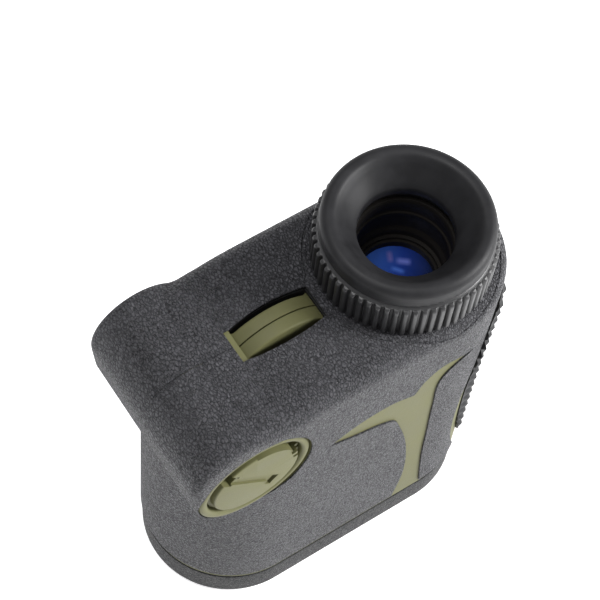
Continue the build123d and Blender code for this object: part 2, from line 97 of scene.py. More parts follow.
port_low, port_high = node_box("battery_port_ring")
BARREL_X = (port_low[0] + port_high[0]) / 2
BARREL_Z = (port_low[2] + port_high[2]) / 2
PORT_R = (port_high[0] - port_low[0]) / 2
DOOR_Y = port_low[1]                   # the flank on which the battery door lies
BARREL_R = PORT_R + 0.65               # round below, close round the port
SHOULDER_R = 11.1                      # and drawn up to a tighter corner at the rear
SHOULDER_X = BARREL_X - 3.1
SHOULDER_Z = REAR - SHOULDER_R

pad_low, pad_high = node_box("top_grip_pad")


# ---- materials ----------------------------------------------------------------------------
class Shader:
    """A Principled material with short calls for the nodes that feed it."""

    def __init__(self, name, color, roughness, specular=0.5, metallic=0.0):
        self.material = bpy.data.materials.new(name)
        self.material.use_nodes = True
        self.tree = self.material.node_tree
        self.shader = self.tree.nodes["Principled BSDF"]
        self.shader.inputs["Base Color"].default_value = (*color, 1)
        self.shader.inputs["Roughness"].default_value = roughness
        self.shader.inputs["Specular IOR Level"].default_value = specular
        self.shader.inputs["Metallic"].default_value = metallic
        self.place = self.tree.nodes.new("ShaderNodeTexCoord").outputs["Object"]

    def node(self, kind, **settings):
        made_node = self.tree.nodes.new(kind)
        for key, value in settings.items():
            setattr(made_node, key, value)
        return made_node

    def link(self, output, target):
        self.tree.links.new(output, target)

    def mapped(self, scale):
        mapping = self.node("ShaderNodeMapping")
        mapping.inputs["Scale"].default_value = scale
        self.link(self.place, mapping.inputs["Vector"])
        return mapping.outputs["Vector"]

    def noise(self, per_mm, detail=3.0, roughness=0.55, distortion=0.0, stretch=(1, 1, 1)):
        texture = self.node("ShaderNodeTexNoise")
        texture.inputs["Scale"].default_value = 1.0
        texture.inputs["Detail"].default_value = detail
        texture.inputs["Roughness"].default_value = roughness
        texture.inputs["Distortion"].default_value = distortion
        scale = [per_mm / MM * s for s in stretch]
        self.link(self.mapped(scale), texture.inputs["Vector"])
        return texture.outputs["Fac"]

    def cells(self, per_mm, feature="F1", warp=0.0, stretch=(1, 1, 1)):
        texture = self.node("ShaderNodeTexVoronoi", feature=feature)
        texture.inputs["Scale"].default_value = 1.0
        scale = [per_mm / MM * s for s in stretch]
        vector = self.mapped(scale)
        if warp:
            shake = self.node("ShaderNodeTexNoise")
            shake.inputs["Scale"].default_value = 1.3
            shake.inputs["Detail"].default_value = 2.0
            self.link(vector, shake.inputs["Vector"])
            push = self.node("ShaderNodeVectorMath", operation="MULTIPLY_ADD")
            self.link(shake.outputs["Color"], push.inputs[0])
            push.inputs[1].default_value = (warp, warp, warp)
            self.link(vector, push.inputs[2])
            vector = push.outputs[0]
        self.link(vector, texture.inputs["Vector"])
        return texture.outputs["Distance"]

    def span(self, value, low, high, to_low, to_high):
        remap = self.node("ShaderNodeMapRange")
        for key, number in (("From Min", low), ("From Max", high), ("To Min", to_low), ("To Max", to_high)):
            remap.inputs[key].default_value = number
        self.link(value, remap.inputs["Value"])
        return remap.outputs["Result"]

    def math(self, operation, a, b):
        step = self.node("ShaderNodeMath", operation=operation)
        for socket, value in zip(step.inputs, (a, b)):
            if isinstance(value, (int, float)):
                socket.default_value = value
            else:
                self.link(value, socket)
        return step.outputs[0]

    def ramp(self, value, *stops):
        """Colour ramp from (position, (r, g, b)) stops."""
        ramp = self.node("ShaderNodeValToRGB")
        elements = ramp.color_ramp.elements
        while len(elements) < len(stops):
            elements.new(0.5)
        for element, (position, color) in zip(elements, stops):
            element.position = position
            element.color = (*color, 1)
        self.link(value, ramp.inputs["Fac"])
        return ramp.outputs["Color"]

    def color(self, output):
        self.link(output, self.shader.inputs["Base Color"])
        return self

    def roughness(self, output):
        self.link(output, self.shader.inputs["Roughness"])
        return self

    def bump(self, height, depth_mm):
        bump = self.node("ShaderNodeBump")
        bump.inputs["Strength"].default_value = 1.0
        bump.inputs["Distance"].default_value = depth_mm * MM
        self.link(height, bump.inputs["Height"])
        self.link(bump.outputs["Normal"], self.shader.inputs["Normal"])
        return self


GRAIN_STRETCH = (1.25, 0.8, 1.0)
CELLS_PER_MM = 1.4
FOLDS_PER_MM = 1.6


def grained_rubber(name, dark, light, depth):
    """Leather-grained rubber: small raised cells, dark cracks between them and folds across both."""
    s = Shader(name, light, 0.6, 0.28)
    edges = s.cells(CELLS_PER_MM, "DISTANCE_TO_EDGE", warp=0.9, stretch=GRAIN_STRETCH)
    pebbles = s.span(edges, 0.0, 0.2, 0.0, 1.0)
    folds = s.noise(FOLDS_PER_MM, detail=3.0, roughness=0.6, distortion=1.0, stretch=GRAIN_STRETCH)
    crinkle = s.span(folds, 0.36, 0.64, 0.0, 1.0)
    height = s.math("ADD", s.math("MULTIPLY", pebbles, 0.6), s.math("MULTIPLY", crinkle, 0.4))
    patches = s.noise(0.06, detail=2.0)
    tone = s.math("ADD", s.math("MULTIPLY", height, 0.85), s.span(patches, 0.3, 0.7, 0.0, 0.15))
    s.color(s.ramp(tone, (0.08, dark), (0.85, light)))
    s.roughness(s.span(height, 0.0, 1.0, 0.72, 0.38))
    return s.bump(height, depth).material


def satin_rubber(name, color, roughness, specular=0.4):
    """Plain moulded rubber with a faint skin and a little dust in the tone."""
    s = Shader(name, color, roughness, specular)
    cloud = s.noise(0.25, detail=3.0)
    skin = s.noise(7.0, detail=3.0)
    dark = tuple(c * 0.82 for c in color)
    light = tuple(c * 1.2 for c in color)
    s.color(s.ramp(cloud, (0.35, dark), (0.65, light)))
    s.roughness(s.span(cloud, 0.3, 0.7, roughness - 0.05, roughness + 0.06))
    return s.bump(skin, 0.012).material


def moulded_plastic(name, color, roughness, specular=0.45, texture=0.02):
    """Injection-moulded plastic: spark-eroded micro texture and a slow drift in gloss."""
    s = Shader(name, color, roughness, specular)
    spark = s.cells(4.0, warp=0.6)
    cloud = s.noise(0.12, detail=3.0)
    dark = tuple(c * 0.9 for c in color)
    light = tuple(c * 1.08 for c in color)
    s.color(s.ramp(cloud, (0.3, dark), (0.7, light)))
    s.roughness(s.span(cloud, 0.3, 0.7, roughness - 0.05, roughness + 0.05))
    return s.bump(spark, texture).material


MATT_SPECULAR = 0.05            # blackened bores, which have to swallow stray light


def turned_metal(name, color, roughness, metallic=1.0):
    """Machined part with fine marks across its length, in metal or with a matt black finish."""
    s = Shader(name, color, roughness, 0.5 if metallic else MATT_SPECULAR, metallic)
    marks = s.noise(1.0, detail=4.0, stretch=(0.6, 0.6, 9.0))
    s.roughness(s.span(marks, 0.3, 0.7, roughness - 0.07, roughness + 0.1))
    s.color(s.ramp(marks, (0.3, tuple(c * 0.85 for c in color)), (0.7, color)))
    return s.bump(marks, 0.006).material


def coated_glass(name, color, tint, roughness=0.03):
    """Multi-coated lens: dark glass whose surface throws back one colour."""
    s = Shader(name, color, roughness, 1.0)
    s.shader.inputs["Coat Weight"].default_value = 1.0
    s.shader.inputs["Coat Roughness"].default_value = 0.02
    s.shader.inputs["Specular Tint"].default_value = (*tint, 1)
    film = s.noise(0.09, detail=1.0)
    s.color(s.ramp(film, (0.35, tuple(c * 0.7 for c in color)), (0.65, tuple(c * 1.3 for c in color))))
    s.roughness(s.span(film, 0.3, 0.7, roughness, roughness + 0.03))
    return s.material


def circuit_board(name):
    s = Shader(name, (0.01, 0.07, 0.03), 0.35, 0.5)
    tracks = s.cells(0.9, "DISTANCE_TO_EDGE")
    s.color(s.ramp(tracks, (0.03, (0.35, 0.25, 0.08)), (0.06, (0.01, 0.07, 0.03))))
    return s.bump(tracks, 0.02).material


RUBBER = grained_rubber("leather_grain_rubber", (0.013, 0.013, 0.015), (0.088, 0.088, 0.096), 0.62)
OLIVE = moulded_plastic("olive_plastic", (0.108, 0.107, 0.047), 0.55, 0.2)
# A darker copy of the olive: painted shade for the cap's plug, seen deep in the lid's slot and notches.
OLIVE_PAINTED_SHADE = moulded_plastic("olive_plastic_painted_shade", (0.08, 0.082, 0.04), 0.6, 0.3)
BEZEL = grained_rubber("bezel_plastic", (0.004, 0.004, 0.005), (0.016, 0.016, 0.017), 0.16)
CUP_RUBBER = satin_rubber("eyecup_rubber", (0.012, 0.012, 0.0132), 0.5, 0.24)
RING_RUBBER = satin_rubber("ring_rubber", (0.020, 0.020, 0.021), 0.40, 0.5)
PAD_RUBBER = satin_rubber("grip_rubber", (0.011, 0.011, 0.012), 0.55, 0.3)
KEY_RUBBER = satin_rubber("key_rubber", (0.030, 0.030, 0.032), 0.5, 0.4)
SEAL_RUBBER = satin_rubber("seal_rubber", (0.008, 0.008, 0.008), 0.7, 0.3)
# Near-black rubber for the pocket's tub: painted shade for the deep pocket.
POCKET_SHADE_RUBBER = satin_rubber("pocket_rubber_painted_shade", (0.012, 0.012, 0.012), 0.7, 0.3)
GLOSS = moulded_plastic("gloss_trim", (0.008, 0.008, 0.009), 0.15, 0.5, 0.004)
ANODISED = turned_metal("black_anodised", (0.014, 0.0125, 0.011), 0.5, 0.0)
INNER = moulded_plastic("inner_black_plastic", (0.014, 0.014, 0.015), 0.6, 0.4)
GLASS = coated_glass("coated_glass", (0.006, 0.02, 0.07), (0.45, 0.55, 1.0))
PRISM = coated_glass("prism_glass", (0.05, 0.06, 0.07), (0.9, 0.95, 1.0), 0.06)
BOARD = circuit_board("circuit_board")
CHIP = moulded_plastic("chip_black", (0.012, 0.012, 0.013), 0.5)
STEEL = turned_metal("plated_steel", (0.62, 0.61, 0.58), 0.28)
BRASS = turned_metal("laser_brass", (0.62, 0.45, 0.19), 0.3)
CELL_WRAP = moulded_plastic("cell_wrap", (0.03, 0.05, 0.16), 0.35, 0.5, 0.008)

BY_SLOT = {
    "olive_shell": OLIVE, "armour_rubber": RUBBER, "bezel_plastic": BEZEL, "gloss_trim": GLOSS,
    "seal_rubber": SEAL_RUBBER, "anodised_black": ANODISED, "inner_black_plastic": INNER,
    "coated_glass": GLASS, "prism_glass": PRISM, "eyecup_rubber": CUP_RUBBER,
    "ring_rubber": RING_RUBBER, "grip_rubber": PAD_RUBBER, "key_rubber": KEY_RUBBER,
    "circuit_board": BOARD, "chip_black": CHIP, "plated_steel": STEEL, "laser_brass": BRASS,
    "cell_wrap": CELL_WRAP,
}
NODE_SLOT = {row["node"]: row["material_slot"] for row in frame["record"]["subparts"]}
for node_name, node_object in NODES.items():
    node_object.data.materials.clear()
    node_object.data.materials.append(BY_SLOT[NODE_SLOT[node_name]])


# ---- making meshes ------------------------------------------------------------------------
def made(name, points, faces, material, crease=38.0):
    """A smooth-shaded object from millimetre points, with edges sharper than crease kept."""
    mesh = bpy.data.meshes.new(name)
    points = (np.asarray(points, float) + BASE) * MM
    mesh.from_pydata(points.tolist(), [], [list(map(int, f)) for f in faces])
    mesh.validate()
    built = bpy.data.objects.new(name, mesh)
    bpy.context.scene.collection.objects.link(built)
    finish_mesh(built, material, crease)
    return built


def finish_mesh(built, material, crease=38.0):
    mesh = built.data
    mesh.materials.clear()
    mesh.materials.append(material)
    mesh.polygons.foreach_set("use_smooth", np.ones(len(mesh.polygons), bool))
    mesh.set_sharp_from_angle(angle=math.radians(crease))
    mesh.update()


def cut(built, cutter, operation="DIFFERENCE"):
    """Boolean of two closed meshes, applied. The cutter is removed."""
    modifier = built.modifiers.new("cut", "BOOLEAN")
    modifier.operation = operation
    modifier.solver = "MANIFOLD"
    modifier.object = cutter
    bpy.context.view_layer.update()
    result = bpy.data.meshes.new_from_object(
        built.evaluated_get(bpy.context.evaluated_depsgraph_get())
    )
    built.modifiers.clear()
    old = built.data
    built.data = result
    result.name = old.name
    bpy.data.meshes.remove(old)
    unused = cutter.data
    bpy.data.objects.remove(cutter)
    bpy.data.meshes.remove(unused)


def place(built, body, slot, *nodes):
    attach(built, body)
    if nodes:
        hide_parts(*nodes)


def loops(rings, closed_path=False, caps=True):
    """Points and faces joining rings of equal count; the path of rings may close on itself."""
    rings = np.asarray(rings, float)
    count, size = rings.shape[:2]
    points = rings.reshape(-1, 3)
    steps = count if closed_path else count - 1
    a = np.arange(steps)[:, None] * size + np.arange(size)[None, :]
    b = (np.arange(steps)[:, None] + 1) % count * size + np.arange(size)[None, :]
    quads = np.stack([a, np.roll(a, -1, 1), np.roll(b, -1, 1), b], -1).reshape(-1, 4)
    faces = quads.tolist()
    if caps and not closed_path:
        faces.append(list(range(size))[::-1])
        faces.append([(count - 1) * size + i for i in range(size)])
    return points, faces


def rounded_line(corners, closed=True, steps=6):
    """Corner points (a, b, radius) as a polyline whose corners are arcs."""
    out = []
    count = len(corners)
    for i, (a, b, radius) in enumerate(corners):
        here = np.array([a, b], float)
        if radius <= 0 or (not closed and i in (0, count - 1)):
            out.append(here)
            continue
        back = np.array(corners[i - 1][:2], float) - here
        ahead = np.array(corners[(i + 1) % count][:2], float) - here
        reach_back, reach_ahead = np.linalg.norm(back), np.linalg.norm(ahead)
        back, ahead = back / reach_back, ahead / reach_ahead
        angle = math.acos(max(-1, min(1, float(back @ ahead))))
        if angle > math.pi - 0.02:
            out.append(here)
            continue
        along = min(radius / math.tan(angle / 2), reach_back * 0.49, reach_ahead * 0.49)
        radius = along * math.tan(angle / 2)
        middle = here + (back + ahead) / np.linalg.norm(back + ahead) * radius / math.sin(angle / 2)
        start = here + back * along - middle
        turn = math.pi - angle
        side = 1 if back[0] * ahead[1] - back[1] * ahead[0] < 0 else -1
        for k in range(steps + 1):
            t = side * turn * k / steps
            c, s = math.cos(t), math.sin(t)
            out.append(middle + np.array([start[0] * c - start[1] * s, start[0] * s + start[1] * c]))
    return np.array(out)


def lathe_z(name, profile, material, segments, crease=38.0):
    """Closed (radius, z) outline turned about the eyepiece axis."""
    angles = np.arange(segments) * 2 * math.pi / segments
    rings = [np.stack([EYE_X + profile[:, 0] * math.cos(t), profile[:, 0] * math.sin(t), profile[:, 1]], -1)
             for t in angles]
    points, faces = loops(rings, closed_path=True)
    return made(name, points, outward(profile, faces), material, crease)


def lathe_y(name, profile, material, segments=160, crease=38.0):
    """Closed (radius, y) outline turned about the battery axis."""
    angles = np.arange(segments) * 2 * math.pi / segments
    rings = [np.stack([BARREL_X + profile[:, 0] * math.cos(t), profile[:, 1],
                       BARREL_Z + profile[:, 0] * math.sin(t)], -1) for t in angles]
    points, faces = loops(rings, closed_path=True)
    return made(name, points, outward(profile, faces, flip=True), material, crease)


def outward(profile, faces, flip=False):
    """Turns the faces of a lathe so that they look out, whichever way the outline runs."""
    a, b = profile, np.roll(profile, -1, 0)
    area = float((a[:, 0] * b[:, 1] - b[:, 0] * a[:, 1]).sum())
    return [f[::-1] for f in faces] if (area > 0) != flip else faces


def disc_z(name, profile, material, segments=128):
    """(radius, z) outline that starts and ends on the eyepiece axis, turned about it."""
    inner = profile[1:-1]
    angles = np.arange(segments) * 2 * math.pi / segments
    points = [[EYE_X + r * math.cos(t), r * math.sin(t), z] for r, z in inner for t in angles]
    faces = []
    for i in range(len(inner) - 1):
        for k in range(segments):
            n = (k + 1) % segments
            faces.append([i * segments + k, i * segments + n, (i + 1) * segments + n, (i + 1) * segments + k])
    for end, row in ((0, 0), (-1, len(inner) - 1)):
        pole = len(points)
        points.append([EYE_X, 0, profile[end][1]])
        for k in range(segments):
            fan = [row * segments + k, row * segments + (k + 1) % segments, pole]
            faces.append(fan[::-1] if end == 0 else fan)
    return made(name, points, faces, material)


def prism(name, outline, low, high, axis="y"):
    """Closed prism from a 2-D outline: (x, z) along Y, or (x, y) along Z."""
    outline = np.asarray(outline, float)
    a, b = outline, np.roll(outline, -1, 0)
    if (a[:, 0] * b[:, 1] - b[:, 0] * a[:, 1]).sum() < 0:
        outline = outline[::-1]
    rings = []
    for level in (low, high):
        flat = np.full(len(outline), float(level))
        first, second = outline[:, 0], outline[:, 1]
        rings.append(np.stack((first, flat, second) if axis == "y" else (first, second, flat), -1))
    points, faces = loops(rings)
    if axis == "y":
        faces = [f[::-1] for f in faces]
    return made(name, points, faces, INNER)


def box_piece(name, x0, x1, y0, y1, z0, z1):
    return prism(name, [(x0, y0), (x1, y0), (x1, y1), (x0, y1)], z0, z1, "z")


def circle(cx, cy, radius, count=160):
    t = np.arange(count) * 2 * math.pi / count
    return np.stack([cx + radius * np.cos(t), cy + radius * np.sin(t)], -1)


def spline(*knots, steps=14):
    """Smooth line through the knots (centripetal Catmull-Rom)."""
    p = np.array(knots, float)
    p = np.vstack([2 * p[0] - p[1], p, 2 * p[-1] - p[-2]])
    out = []
    for i in range(1, len(p) - 2):
        t = [0.0]
        for k in range(3):
            t.append(t[-1] + np.linalg.norm(p[i + k] - p[i + k - 1]) ** 0.5)
        for u in np.linspace(t[1], t[2], steps, endpoint=False):
            a1 = (t[1] - u) / (t[1] - t[0]) * p[i - 1] + (u - t[0]) / (t[1] - t[0]) * p[i]
            a2 = (t[2] - u) / (t[2] - t[1]) * p[i] + (u - t[1]) / (t[2] - t[1]) * p[i + 1]
            a3 = (t[3] - u) / (t[3] - t[2]) * p[i + 1] + (u - t[2]) / (t[3] - t[2]) * p[i + 2]
            b1 = (t[2] - u) / (t[2] - t[0]) * a1 + (u - t[0]) / (t[2] - t[0]) * a2
            b2 = (t[3] - u) / (t[3] - t[1]) * a2 + (u - t[1]) / (t[3] - t[1]) * a3
            out.append((t[2] - u) / (t[2] - t[1]) * b1 + (u - t[1]) / (t[2] - t[1]) * b2)
    out.append(p[-2])
    return [tuple(q) for q in out]


# ---- the body's form ----------------------------------------------------------------------
REAR_ROUND = 3.9
PORT_ROUND, FAR_ROUND = 2.1, 1.2
CREASE_FILLET = 1.9
SADDLE_DIP, SADDLE_OUT, SADDLE_WIDTH = 0.8, 8.0, 5.0   # hollow in the rear face beside the barrel


def rounded_pair(side, top, radius):
    """Distance to the corner of two faces, rounded."""
    a = side + radius
    b = top + radius
    return np.minimum(np.maximum(a, b), 0) + np.hypot(np.maximum(a, 0), np.maximum(b, 0)) - radius


def barrel_section(x, z):
    """Distance to the hull of the barrel's two circles, seen along Y."""
    rise = np.array([SHOULDER_X - BARREL_X, SHOULDER_Z - BARREL_Z])
    length = np.hypot(*rise)
    rise = rise / length
    along = (x - BARREL_X) * rise[0] + (z - BARREL_Z) * rise[1]
    across = np.abs((z - BARREL_Z) * rise[0] - (x - BARREL_X) * rise[1])
    taper = (BARREL_R - SHOULDER_R) / length
    flank = math.sqrt(1 - taper * taper)
    where = along * flank - across * taper
    middle = across * flank + along * taper - BARREL_R
    low = np.hypot(across, along) - BARREL_R
    high = np.hypot(across, along - length) - SHOULDER_R
    return np.where(where < 0, low, np.where(where > length * flank, high, middle))


def flare_at(z):
    """How far the +X end leans out towards the rear."""
    return np.interp(z, (16, 34, 51, 62, 72, 80), (0.0, 0.05, 0.2, 0.5, 0.8, 0.95))


def stem_distance(p):
    """The upright part: two round ends, the rear edge rounded, the +X end flaring to the rear."""
    x, y, z = p[..., 0], p[..., 1], p[..., 2]
    flare = flare_at(z)
    past = x - np.clip(x, -END, END)
    past = np.where(past > 0, past * SKIN_OUT / (SKIN_OUT + flare), past)
    side = np.hypot(past, y) - SKIN_OUT
    saddle = SADDLE_DIP * np.exp(-((x - BARREL_X - SADDLE_OUT) / SADDLE_WIDTH) ** 2)
    top = z - (REAR - saddle)
    body = rounded_pair(side, top, REAR_ROUND)
    over = (x < BARREL_X) & (z > BARREL_Z)
    return np.where(over, np.maximum(body, barrel_section(x, z)), body)


def barrel_distance(p):
    """The battery barrel, lying along Y with rounded rims."""
    x, y, z = p[..., 0], p[..., 1], p[..., 2]
    return rounded_pair(barrel_section(x, z), np.abs(y) - (SKIN_OUT - 0.03),
                        np.where(y < 0, PORT_ROUND, FAR_ROUND))


def slope(distance, p, step=0.05):
    parts = []
    for axis in range(3):
        shift = np.zeros(3)
        shift[axis] = step
        parts.append((distance(p + shift) - distance(p - shift)) / (2 * step))
    return np.stack(parts, -1)


def body_distance(p):
    """Stem and barrel in one, with a hollow fillet where they meet at an angle."""
    stem = stem_distance(p)
    barrel = barrel_distance(p)
    a, b = slope(stem_distance, p), slope(barrel_distance, p)
    alike = (a * b).sum(-1) / np.maximum(np.linalg.norm(a, axis=-1) * np.linalg.norm(b, axis=-1), 1e-6)
    k = CREASE_FILLET * np.clip((1 - alike) * 1.4 - 0.1, 0.001, 1)
    inner = np.minimum(stem, barrel)
    blended = np.maximum(k, inner) - np.hypot(np.maximum(k - stem, 0), np.maximum(k - barrel, 0))
    return np.minimum(inner, blended)


def surface_net(values, origin, step):
    """Quad mesh of the zero level of a grid of distances."""
    inside = values < 0
    cells = tuple(n - 1 for n in values.shape)
    total = np.zeros(cells + (3,))
    hits = np.zeros(cells)
    corners = [np.array(c) for c in np.ndindex(2, 2, 2)]

    def at(array, corner):
        return array[corner[0]:corner[0] + cells[0], corner[1]:corner[1] + cells[1],
                     corner[2]:corner[2] + cells[2]]

    for a in corners:
        for axis in range(3):
            if a[axis]:
                continue
            b = a.copy()
            b[axis] = 1
            va, vb = at(values, a), at(values, b)
            crossing = at(inside, a) != at(inside, b)
            t = np.where(crossing, va / np.where(crossing, va - vb, 1), 0)
            for k in range(3):
                total[..., k] += np.where(crossing, a[k] + t * (b[k] - a[k]), 0)
            hits += crossing
    active = hits > 0
    index = np.full(cells, -1)
    index[active] = np.arange(active.sum())
    base = np.argwhere(active)
    points = (base + total[active] / hits[active][:, None]) * step + origin
    faces = []
    for axis in range(3):
        u, v = (axis + 1) % 3, (axis + 2) % 3
        low = [slice(1, n - 1) for n in values.shape]
        low[axis] = slice(0, values.shape[axis] - 1)
        high = list(low)
        high[axis] = slice(1, values.shape[axis])
        start, end = inside[tuple(low)], inside[tuple(high)]
        for first, flip in ((start & ~end, False), (~start & end, True)):
            where = np.argwhere(first)
            where[:, u] += 1
            where[:, v] += 1
            ring = []
            for du, dv in ((-1, -1), (0, -1), (0, 0), (-1, 0)):
                cell = where.copy()
                cell[:, u] += du
                cell[:, v] += dv
                ring.append(index[cell[:, 0], cell[:, 1], cell[:, 2]])
            quads = np.stack(ring[::-1] if flip else ring, -1)
            faces.append(quads)
    return points, np.vstack(faces)


def settle(points, level, rounds=4):
    """Moves points onto the body's surface at the given level."""
    for _ in range(rounds):
        g = slope(body_distance, points, 0.03)
        size = np.maximum((g * g).sum(-1), 0.3)
        points = points - ((body_distance(points) - level) / size)[:, None] * g
    return points


STEP = 0.62     # size of the body's grid cells
SKIN_FLOOR = 6.0                       # the closed skins end here, below every front edge
GRID_LOW = np.array([armour_low[0] - 2.05, -SKIN_OUT - 2.03, 4.1])
GRID_HIGH = np.array([END + SKIN_OUT + 3.0, SKIN_OUT + 2.0, REAR + 2.0])
grid_axes = [np.arange(lo, hi, STEP) for lo, hi in zip(GRID_LOW, GRID_HIGH)]
grid = np.stack(np.meshgrid(*grid_axes, indexing="ij"), -1)
field = body_distance(grid)
floor_gap = SKIN_FLOOR - grid[..., 2]


def body_skin(name, level, material):
    """The body's closed surface at a level; its flat bottom is cut away later."""
    points, faces = surface_net(np.maximum(field - level, floor_gap), GRID_LOW, STEP)
    free = points[:, 2] > SKIN_FLOOR + 1.5 * STEP
    points[free] = settle(points[free], level)
    return made(name, points, faces, material)


# ---- windows and openings in the side view ------------------------------------------------
WINDOW_FRONT = ARMOUR_FRONT - 2
Y_WINDOW = (
    spline((-10.5, 61.6), (-4.0, 64.3), (4.0, 65.0), (10.1, 63.0))[:-1]
    + spline((10.1, 63.0), (12.3, 67.0), (16.5, 69.6), (24.8, 68.2))[:-1]
    + spline((24.8, 68.2), (19.6, 66.6), (16.6, 62.6), (16.4, 51.0), (16.8, 38.0), (17.2, 26.0),
             (18.8, WINDOW_FRONT))
    + spline((10.8, WINDOW_FRONT), (12.7, 22.0), (11.2, 38.5), (8.2, 50.0), (6.2, 54.9), (2.8, 57.0),
             (-4.5, 59.3), (-10.5, 61.6))[:-1]
)
PAD_REAR = pad_high[2] + 0.4
TOP_WINDOW = (
    spline((31.2, WINDOW_FRONT), (27.0, 20.0), (25.2, 31.0), (25.3, 41.0), (26.4, 49.0), (28.8, 60.0),
           (31.0, PAD_REAR))
    + [(60.0, PAD_REAR), (60.0, WINDOW_FRONT)]
)
POCKET_LOW, POCKET_HIGH = -20.3, -2.5
POCKET_END, POCKET_MID = 3.7, 4.6
POCKET_FLOOR = 75.0
LEDGE_WIDTH = 1.2               # olive ledge past the pocket's -X end


def pocket_outline(grow, ledge=None):
    low, high = POCKET_LOW - (grow if ledge is None else ledge), POCKET_HIGH + grow
    t = np.linspace(-1, 1, 25)
    bow = POCKET_END + (POCKET_MID - POCKET_END) * (1 - t * t) + grow
    x = (low + high) / 2 + t * (high - low) / 2
    return [(a, -b) for a, b in zip(x, bow)] + [(a, b) for a, b in zip(x[::-1], bow[::-1])]


def groove_cutter(name, path, width, depth):
    """A V-shaped cutter along a line that lies on the armour."""
    path = np.asarray(path, float)
    normal = slope(body_distance, path, 0.05)
    normal /= np.linalg.norm(normal, axis=-1)[:, None]
    along = np.gradient(path, axis=0)
    along /= np.linalg.norm(along, axis=-1)[:, None]
    across = np.cross(normal, along)
    across /= np.linalg.norm(across, axis=-1)[:, None]
    depths = np.broadcast_to(depth, len(path))
    rings = []
    for p, a, n, d in zip(path, across, normal, depths):
        shape = ((-width / 2, 0), (0, -d), (width / 2, 0), (width / 2 + 0.1, 0.35), (-width / 2 - 0.1, 0.35))
        rings.append(np.array([p + a * w + n * h for w, h in shape]))
    return made(name, *loops(rings), INNER)


def on_body(start, direction, far=80.0):
    """Where a ray from inside leaves the body."""
    start, direction = np.array(start, float), np.array(direction, float)
    direction /= np.linalg.norm(direction)
    low, high = 0.0, far
    for _ in range(40):
        middle = (low + high) / 2
        if body_distance((start + direction * middle)[None])[0] < 0:
            low = middle
        else:
            high = middle
    return start + direction * low


# ---- armour and shell ---------------------------------------------------------------------
COLLAR_R = RING_R + 0.9         # groove round the dioptre ring, open where the pocket ends
COLLAR_GAP = 0.26
armour = body_skin("rubber_armour", -0.01, RUBBER)
cut(armour, body_skin("inside", -STEP_DEPTH - 0.04, INNER))
cut(armour, box_piece("front", -60, 60, -30, 30, 0, ARMOUR_FRONT))
cut(armour, prism("window_right", Y_WINDOW, -40, -5))
cut(armour, prism("window_left", Y_WINDOW, 5, 40))
cut(armour, prism("window_top", TOP_WINDOW, -40, 40))
cut(armour, prism("pocket", pocket_outline(0), POCKET_FLOOR, REAR + 3, "z"))
cut(armour, box_piece("ledge", POCKET_LOW - LEDGE_WIDTH, POCKET_LOW + 1, -POCKET_END, POCKET_END,
                      REAR - 2.5, REAR + 3))
cut(armour, prism("ring_seat", circle(EYE_X, 0, RING_R + 0.25), REAR - 0.26, REAR + 3, "z"))
cut(armour, prism("tube_hole", circle(EYE_X, 0, TUBE_HOLE_R), REAR - 5, REAR + 3, "z"))
cut(armour, prism("port_hole", circle(BARREL_X, BARREL_Z, PORT_R + 0.12), -40, 0))

# The parting line runs from the ledge round the -X end, deep at first and then faint.
HUB_X, HUB_Z = -8, 55
seam_start = math.atan2(REAR - HUB_Z, POCKET_LOW - 1.4 - HUB_X)
seam_end = 2 * math.pi + math.atan2(ARMOUR_FRONT - 1.5 - HUB_Z, -END - SKIN_OUT - HUB_X)
seam_turns = np.linspace(seam_start, seam_end, 110)
seam = [on_body((HUB_X, 0, HUB_Z), (math.cos(t), 0, math.sin(t))) for t in seam_turns]
seam_depth = np.interp(np.arange(110), (0, 14, 30), (0.34, 0.3, 0.05))
cut(armour, groove_cutter("seam", seam, 0.28, seam_depth))
collar = []
for t in np.linspace(math.pi + COLLAR_GAP, 3 * math.pi - COLLAR_GAP, 200):
    x, y = EYE_X + COLLAR_R * math.cos(t), COLLAR_R * math.sin(t)
    collar.append(on_body((x, y, 70), (0, 0, 1)))
cut(armour, groove_cutter("collar", collar, 0.5, 0.34))
finish_mesh(armour, RUBBER, 34)
place(armour, "housing", "armour_rubber", "right_armour", "left_armour")

shell = body_skin("olive_shell", -STEP_DEPTH, OLIVE)
cut(shell, body_skin("inside", -STEP_DEPTH - SHELL_THICK, INNER))
cut(shell, box_piece("front", -60, 60, -30, 30, 0, SHELL_FRONT))
cut(shell, prism("pocket", pocket_outline(0.7, 0.0), POCKET_FLOOR - 2, REAR + 3, "z"))
cut(shell, prism("tube_hole", circle(EYE_X, 0, TUBE_HOLE_R), REAR - 8, REAR + 3, "z"))
cut(shell, prism("port_hole", circle(BARREL_X, BARREL_Z, PORT_R + 0.1), -40, 0))
place(shell, "housing", "olive_shell", "right_housing", "left_housing")

# A band round the bezel stands level with the shell, and a dark groove parts them.
band_section = rounded_line([(HALF - 0.2, BEZEL_TOP - 0.05, 0), (HALF + STEP_DEPTH, BEZEL_TOP - 0.05, 0.3),
                             (HALF + STEP_DEPTH, 0.4, 1.0), (HALF - 0.2, 0.9, 0)], steps=5)
band_rings = []
for k in range(240):
    t = 2 * math.pi * k / 240
    x = END if math.cos(t) > 0 else -END
    band_rings.append([(x + r * math.cos(t), r * math.sin(t), z) for r, z in band_section])
band_points, band_faces = loops(band_rings, closed_path=True)
band = made("bezel_band", band_points, outward(band_section, band_faces), BEZEL, 40)
place(band, "housing", "bezel_plastic")

# The pocket's tub, near black as painted shade for the deep pocket, and the arched bar over it in two halves
# with a dark parting line.
outer_line, inner_line = pocket_outline(0.65), pocket_outline(0.0)


def tub_top(x):
    """The tub's rim: just under the armour at the sides, below the olive ledge at the -X end."""
    return REAR - STEP_DEPTH - (0.9 if x > POCKET_LOW + 0.2 else 2.0)


